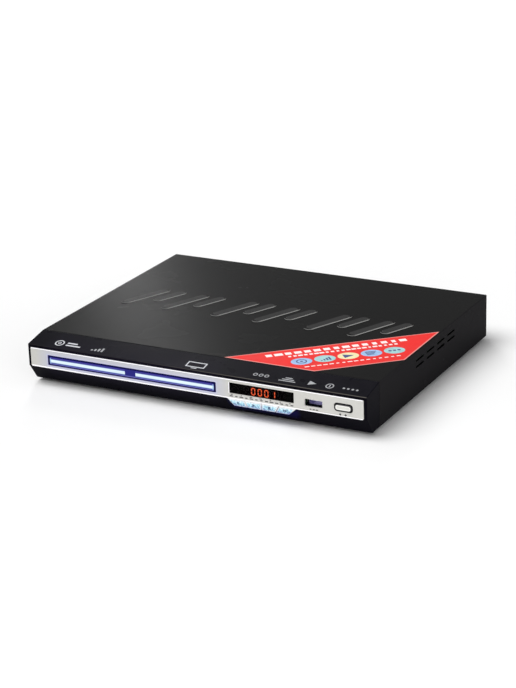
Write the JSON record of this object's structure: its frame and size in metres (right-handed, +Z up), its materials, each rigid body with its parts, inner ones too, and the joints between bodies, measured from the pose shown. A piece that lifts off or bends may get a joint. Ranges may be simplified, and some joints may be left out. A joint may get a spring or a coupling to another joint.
{
  "type": "dvd player with tray",
  "caption": "Slim disc player: sheet-metal case with vents, silver front plate with lit tray door, display, keys, media port and power key; tray loader, boards and rear sockets inside.",
  "frame": {"origin": "under the middle of the whole object, on the surface it stands on", "axes": "+X to the right seen from the front, -Y towards the front face, +Z up"},
  "size_m": [0.36, 0.2998, 0.0476],
  "materials": {
    "zinc_sheet": "zinc-plated sheet",
    "black_sheet": "satin black paint",
    "charcoal_paint": "satin charcoal powder coat",
    "front_black": "semi-gloss black moulding",
    "silver_paint": "metallic silver paint",
    "smoked_window": "clear gloss over black",
    "display_housing": "moulded",
    "digit_glow": "lit segments",
    "board_green": "solder resist",
    "board_tan": "bare laminate",
    "board_white": "white solder resist",
    "switch_body": "moulded",
    "key_blue": "translucent pale blue",
    "port_metal": "nickel-plated",
    "port_white": "moulded",
    "key_silver": "metallic silver paint",
    "lamp_blue": "blue lamp",
    "door_blue": "translucent blue",
    "light_bar": "frosted light guide",
    "tray_grey": "fine texture",
    "loader_black": "moulded",
    "gear_white": "natural acetal",
    "belt_rubber": "matt",
    "motor_steel": "plated can",
    "brass": "turned",
    "plated_steel": "pressed",
    "turntable_black": "soft grip ring",
    "pickup_grey": "glass-filled moulding",
    "lens": "coated lens",
    "chip_black": "moulded",
    "transformer_yellow": "taped winding",
    "nylon": "moulded",
    "screw_zinc": "zinc-plated",
    "jack_housing": "moulded",
    "nickel": "nickel-plated",
    "ribbon_white": "flat cable",
    "wire_red": "sleeved wires",
    "sticker_red": "gloss-printed film",
    "screw_black": "blackened",
    "foot_rubber": "matt"
  },
  "bodies": {
    "case": {"bottom_pan": "zinc_sheet", "rear_panel": "black_sheet", "top_cover": "charcoal_paint", "front_panel": "front_black", "silver_fascia": "silver_paint", "display_window": "smoked_window", "display_module": "display_housing", "display_digits": "digit_glow", "front_board": "board_green", "key_switches": "switch_body", "port_board": "board_green", "port_shell": "port_metal", "port_tongue": "port_white", "power_switch": "switch_body", "lamp_board": "board_white", "lamps": "lamp_blue", "loader_frame": "loader_black", "drive_belt": "belt_rubber", "loading_motor": "motor_steel", "clamp_bridge": "plated_steel", "pivot_bushes": "loader_black", "main_board": "board_green", "board_chips": "chip_black", "power_board": "board_tan", "transformer": "transformer_yellow", "power_parts": "chip_black", "standoffs": "nylon", "board_screws": "screw_zinc", "jack_block": "jack_housing", "jack_barrels": "nickel", "mains_inlet": "jack_housing", "inlet_pins": "nickel", "ribbons": "ribbon_white", "power_harness": "wire_red", "promo_sticker": "sticker_red", "cover_screws": "screw_black", "feet": "foot_rubber"},
    "tray": {"disc_tray": "tray_grey", "tray_door": "door_blue", "door_light_bars": "light_bar"},
    "drive_gear": {"drive_gear": "gear_white"},
    "pulley_gear": {"pulley_gear": "gear_white"},
    "motor_pulley": {"motor_pulley": "brass"},
    "cam_slider": {"cam_slider": "gear_white"},
    "clamp": {"clamp_puck": "gear_white"},
    "traverse": {"traverse_plate": "plated_steel", "guide_rods": "plated_steel", "spindle_base": "board_green", "sled_motor": "motor_steel"},
    "spindle": {"spindle_rotor": "motor_steel", "turntable": "turntable_black"},
    "pickup": {"pickup_sled": "pickup_grey", "pickup_lens": "lens"},
    "sled_gear": {"sled_gear": "gear_white"},
    "sled_pinion": {"sled_pinion": "brass"},
    "open_key": {"open_key": "key_blue"},
    "play_key": {"play_key": "key_blue"},
    "stop_key": {"stop_key": "key_blue"},
    "skip_key": {"skip_key": "key_blue"},
    "power_key": {"power_key": "key_silver"}
  },
  "joints": [
    {"name": "tray_slide", "type": "slide", "parent": "case", "child": "tray", "axis": [0, -1, 0], "range_m": [0, 0.135]},
    {"name": "drive_gear_spin", "type": "hinge", "parent": "case", "child": "drive_gear", "pos_m": [-0.1175, -0.10055, 0.018], "axis": [0, 0, 1], "range_deg": [-862, 0]},
    {"name": "pulley_gear_spin", "type": "hinge", "parent": "case", "child": "pulley_gear", "pos_m": [-0.0999, -0.10055, 0.018], "axis": [0, 0, 1], "range_deg": [0, 2295]},
    {"name": "motor_pulley_spin", "type": "hinge", "parent": "case", "child": "motor_pulley", "pos_m": [-0.0715, -0.10305, 0.018], "axis": [0, 0, 1], "range_deg": [0, 7030]},
    {"name": "cam_slide", "type": "slide", "parent": "case", "child": "cam_slider", "axis": [1, 0, 0], "range_m": [0, 0.022]},
    {"name": "traverse_tilt", "type": "hinge", "parent": "case", "child": "traverse", "pos_m": [-0.0655, 0.02145, 0.0202], "axis": [-1, 0, 0], "range_deg": [0, 3.4]},
    {"name": "clamp_spin", "type": "hinge", "parent": "case", "child": "clamp", "pos_m": [-0.0655, -0.07055, 0.033], "axis": [0, 0, 1], "continuous": true},
    {"name": "spindle_spin", "type": "hinge", "parent": "traverse", "child": "spindle", "pos_m": [-0.0655, -0.07079, 0.02153], "axis": [0, -0.0593, 0.9982], "continuous": true},
    {"name": "pickup_slide", "type": "slide", "parent": "traverse", "child": "pickup", "axis": [0, 0.9982, 0.0593], "range_m": [0, 0.034]},
    {"name": "sled_gear_spin", "type": "hinge", "parent": "traverse", "child": "sled_gear", "pos_m": [-0.0395, -0.03228, 0.0141], "axis": [0, -0.0593, 0.9982], "range_deg": [-305, 0]},
    {"name": "sled_pinion_spin", "type": "hinge", "parent": "traverse", "child": "sled_pinion", "pos_m": [-0.0395, -0.0219, 0.01472], "axis": [0, -0.0593, 0.9982], "range_deg": [0, 488]},
    {"name": "open_key_press", "type": "slide", "parent": "case", "child": "open_key", "axis": [0, 1, 0], "range_m": [0, 0.0007], "stiffness_N_per_m": 800, "springref_m": -0.0006},
    {"name": "play_key_press", "type": "slide", "parent": "case", "child": "play_key", "axis": [0, 1, 0], "range_m": [0, 0.0007], "stiffness_N_per_m": 800, "springref_m": -0.0006},
    {"name": "stop_key_press", "type": "slide", "parent": "case", "child": "stop_key", "axis": [0, 1, 0], "range_m": [0, 0.0007], "stiffness_N_per_m": 800, "springref_m": -0.0006},
    {"name": "skip_key_press", "type": "slide", "parent": "case", "child": "skip_key", "axis": [0, 1, 0], "range_m": [0, 0.0007], "stiffness_N_per_m": 800, "springref_m": -0.0006},
    {"name": "power_key_press", "type": "slide", "parent": "case", "child": "power_key", "axis": [0, 1, 0], "range_m": [0, 0.002], "stiffness_N_per_m": 600, "springref_m": -0.001}
  ],
  "couplings": [
    {"joint": "drive_gear_spin", "follows": "tray_slide", "rad_per_m": -111.11},
    {"joint": "pulley_gear_spin", "follows": "tray_slide", "rad_per_m": 296.3},
    {"joint": "motor_pulley_spin", "follows": "tray_slide", "rad_per_m": 908},
    {"joint": "traverse_tilt", "follows": "cam_slide", "rad_per_m": 2.697},
    {"joint": "sled_gear_spin", "follows": "pickup_slide", "rad_per_m": -156.25},
    {"joint": "sled_pinion_spin", "follows": "pickup_slide", "rad_per_m": 250}
  ]
}
